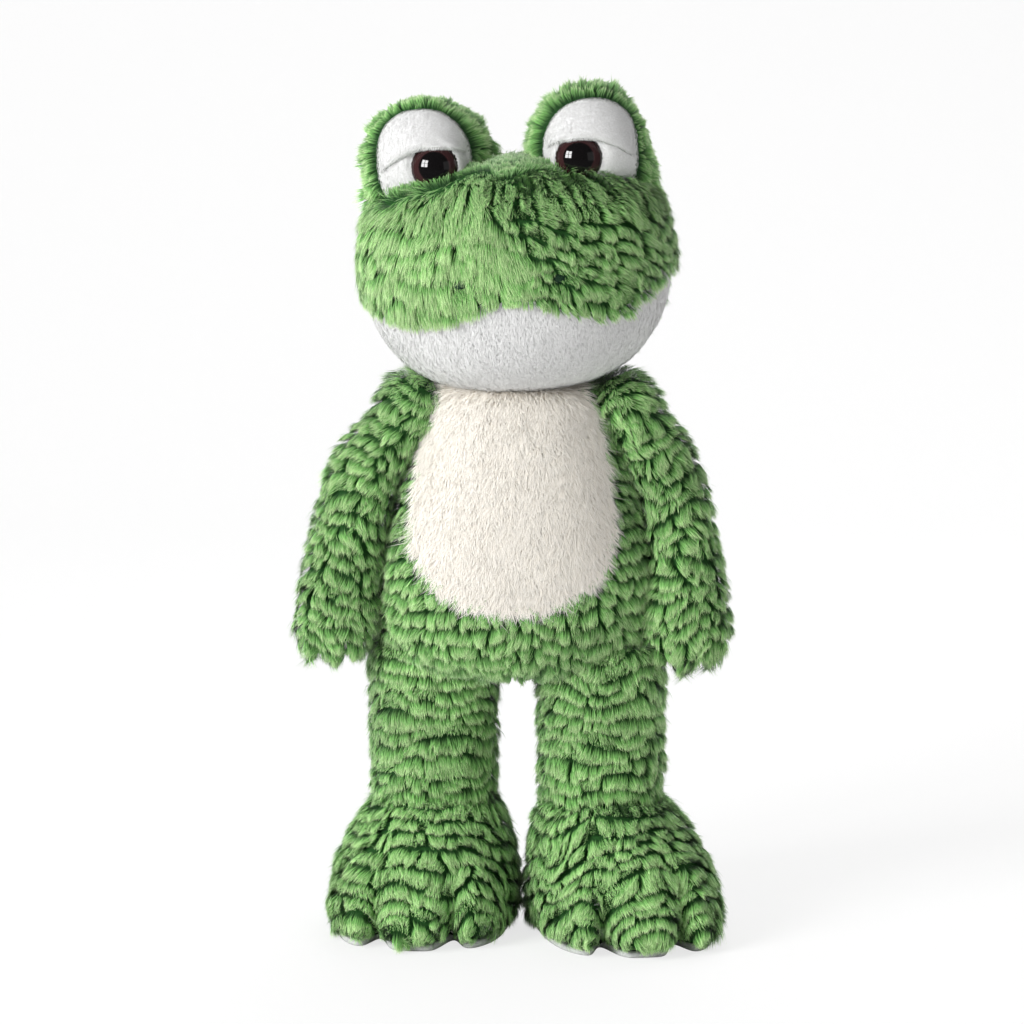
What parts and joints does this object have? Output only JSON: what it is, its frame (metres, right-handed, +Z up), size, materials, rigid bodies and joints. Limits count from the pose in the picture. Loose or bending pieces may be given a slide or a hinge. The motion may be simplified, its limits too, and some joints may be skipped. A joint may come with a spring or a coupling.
{
  "type": "plush frog",
  "caption": "Standing plush frog with a big turning head, raised half-lidded eyes, a cream belly, swinging arms and legs, and large flat-soled feet.",
  "frame": {"origin": "on the floor under the middle of the frog's bounding box", "axes": "+Z up through the head; the frog faces -Y, and its own left side is at +X"},
  "size_m": [0.1845, 0.1241, 0.3603],
  "materials": {
    "green_fur": "mid-green long-pile fur in crinkled rows",
    "cream_fur": "cream fine-haired fur",
    "white_pile": "white short-pile fabric",
    "sole_pile": "pale grey short-pile fabric",
    "fibre_stuffing": "white polyester fibre filling",
    "eye_plastic": "glossy dark brown eye with a black pupil",
    "washer_plastic": "natural moulded plastic",
    "nostril_thread": "dark green satin stitch"
  },
  "bodies": {
    "torso": {"torso_skin": "green_fur", "belly_panel": "cream_fur", "torso_stuffing": "fibre_stuffing"},
    "head": {"head_skin": "green_fur", "jaw_panel": "white_pile", "head_stuffing": "fibre_stuffing", "left_eye_hood": "green_fur", "left_eye_white": "white_pile", "left_eyelid": "white_pile", "left_eye": "eye_plastic", "left_eye_washer": "washer_plastic", "left_eye_stuffing": "fibre_stuffing", "left_nostril": "nostril_thread", "right_eye_hood": "green_fur", "right_eye_white": "white_pile", "right_eyelid": "white_pile", "right_eye": "eye_plastic", "right_eye_washer": "washer_plastic", "right_eye_stuffing": "fibre_stuffing", "right_nostril": "nostril_thread"},
    "left_arm": {"left_arm_skin": "green_fur", "left_arm_stuffing": "fibre_stuffing"},
    "left_leg": {"left_leg_skin": "green_fur", "left_leg_stuffing": "fibre_stuffing"},
    "left_foot": {"left_foot_upper": "green_fur", "left_foot_stuffing": "fibre_stuffing", "left_sole_panel": "sole_pile"},
    "right_arm": {"right_arm_skin": "green_fur", "right_arm_stuffing": "fibre_stuffing"},
    "right_leg": {"right_leg_skin": "green_fur", "right_leg_stuffing": "fibre_stuffing"},
    "right_foot": {"right_foot_upper": "green_fur", "right_foot_stuffing": "fibre_stuffing", "right_sole_panel": "sole_pile"}
  },
  "joints": [
    {"name": "neck_turn", "type": "hinge", "parent": "torso", "child": "head", "pos_m": [0.0037, 0.0071, 0.23113], "axis": [0, 0, 1], "range_deg": [-40, 40]},
    {"name": "left_shoulder_swing", "type": "hinge", "parent": "torso", "child": "left_arm", "pos_m": [0.0452, 0.0061, 0.2243], "axis": [-1, 0, 0], "range_deg": [-50, 80]},
    {"name": "right_shoulder_swing", "type": "hinge", "parent": "torso", "child": "right_arm", "pos_m": [-0.0428, 0.0061, 0.2243], "axis": [-1, 0, 0], "range_deg": [-50, 80]},
    {"name": "left_hip_swing", "type": "hinge", "parent": "torso", "child": "left_leg", "pos_m": [0.0364, 0.0021, 0.0948], "axis": [-1, 0, 0], "range_deg": [-20, 80]},
    {"name": "right_hip_swing", "type": "hinge", "parent": "torso", "child": "right_leg", "pos_m": [-0.034, 0.0111, 0.0948], "axis": [-1, 0, 0], "range_deg": [-20, 80]},
    {"name": "left_ankle_flex", "type": "hinge", "parent": "left_leg", "child": "left_foot", "pos_m": [0.0364, 0.0021, 0.066], "axis": [-1, 0, 0], "range_deg": [-18, 18]},
    {"name": "right_ankle_flex", "type": "hinge", "parent": "right_leg", "child": "right_foot", "pos_m": [-0.034, 0.0111, 0.066], "axis": [-1, 0, 0], "range_deg": [-18, 18]}
  ]
}
